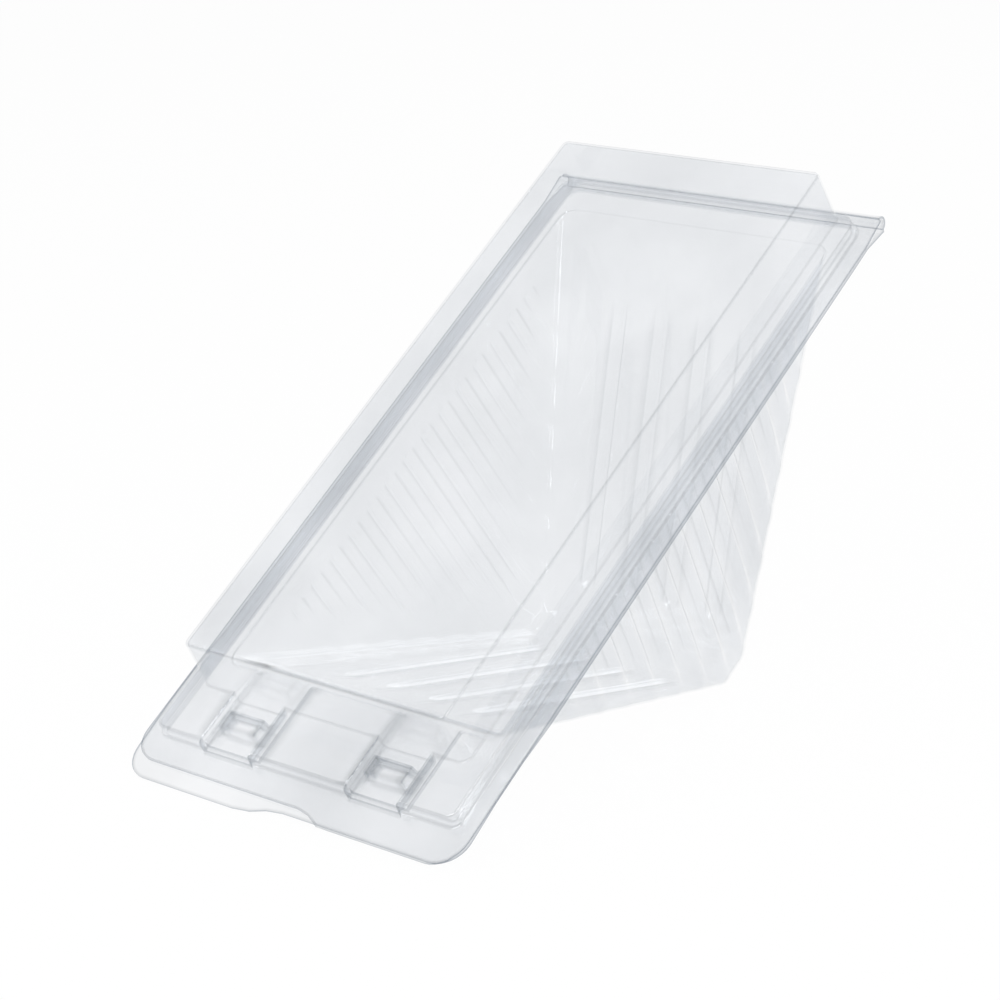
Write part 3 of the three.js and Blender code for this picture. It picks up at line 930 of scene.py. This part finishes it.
floor_mesh = bpy.data.meshes.new("floor")
floor_signs = [(-1, -1), (1, -1), (1, 1), (-1, 1)]
floor_corners = [(sx * FLOOR_HALF, sy * FLOOR_HALF, 0) for sx, sy in floor_signs]
floor_mesh.from_pydata(floor_corners, [], [(0, 1, 2, 3)])
floor_mesh.materials.append(white_floor())
floor = bpy.data.objects.new("floor", floor_mesh)
bpy.context.scene.collection.objects.link(floor)

world = bpy.data.worlds.new("studio")
bpy.context.scene.world = world
world.use_nodes = True
sky = world.node_tree.nodes["Background"]
sky.inputs["Color"].default_value = (1, 1, 1, 1)
sky_strength = value_node(
    world.node_tree,
    "ShaderNodeMapRange",
    {"Value": background_rays(world.node_tree), "To Min": WORLD_LIGHT, "To Max": 1.0},
)
world.node_tree.links.new(sky_strength.outputs[0], sky.inputs["Strength"])


def soft_lamp(name, place, width, height, watts):
    """An area lamp aimed at the middle of the pack."""
    data = bpy.data.lights.new(name, "AREA")
    data.shape = "RECTANGLE"
    data.size = width
    data.size_y = height
    data.energy = watts
    lamp = bpy.data.objects.new(name, data)
    aim = (Vector(LAMP_AIM) - Vector(place)).to_track_quat("-Z", "Y")
    lamp.matrix_world = Matrix.Translation(place) @ aim.to_matrix().to_4x4()
    bpy.context.scene.collection.objects.link(lamp)


soft_lamp("key_lamp", (-0.15, -0.8, 0.8), 0.6, 0.6, 4.0)
soft_lamp("strip_lamp", (0.75, -0.2, 0.5), 0.12, 0.9, 2.2)
soft_lamp("back_lamp", (0.1, 0.9, 0.6), 1.0, 0.5, 1.5)
soft_lamp("small_lamp", (0.4, -0.9, 0.9), 0.14, 0.14, 1.8)


# The camera stands where the picture was taken. Its pose is held as the pack's own: the turns
# about X, Y and Z that bring the pack to the camera's axes, and the pack's place before it.

CAMERA_TURNS = (2.53831, 0.648956, 0.224248)
PACK_BEFORE_CAMERA = (-81.1225, 55.4023, 593.4776)
PACK_CORNER = (-47.15, -0.8, 0)
CAMERA_LENS = 100.8


def turn_about(axis, angle):
    """The rotation by an angle about one axis."""
    return np.array(Matrix.Rotation(angle, 3, axis))


to_camera = (
    turn_about("Z", CAMERA_TURNS[2])
    @ turn_about("Y", CAMERA_TURNS[1])
    @ turn_about("X", CAMERA_TURNS[0])
)
camera_place = in_frame(np.array(PACK_CORNER) - to_camera.T @ np.array(PACK_BEFORE_CAMERA))
camera_axes = np.diag([1, -1, -1]) @ to_camera @ pack_axes
camera_data = bpy.data.cameras.new("camera")
camera_data.lens = CAMERA_LENS
camera_data.sensor_width = 36
camera_data.clip_start = 0.05
camera_data.clip_end = 20
camera = bpy.data.objects.new("camera", camera_data)
camera.matrix_world = (
    Matrix.Translation(camera_place) @ Matrix(camera_axes.T.tolist()).to_4x4()
)
bpy.context.scene.collection.objects.link(camera)
bpy.context.scene.camera = camera
bpy.context.scene.view_settings.view_transform = "Standard"

# A look through the closed pack passes many faces of the sheet, one transparent bounce each.
FACES_IN_LINE = 32
bpy.context.scene.cycles.transparent_max_bounces = FACES_IN_LINE
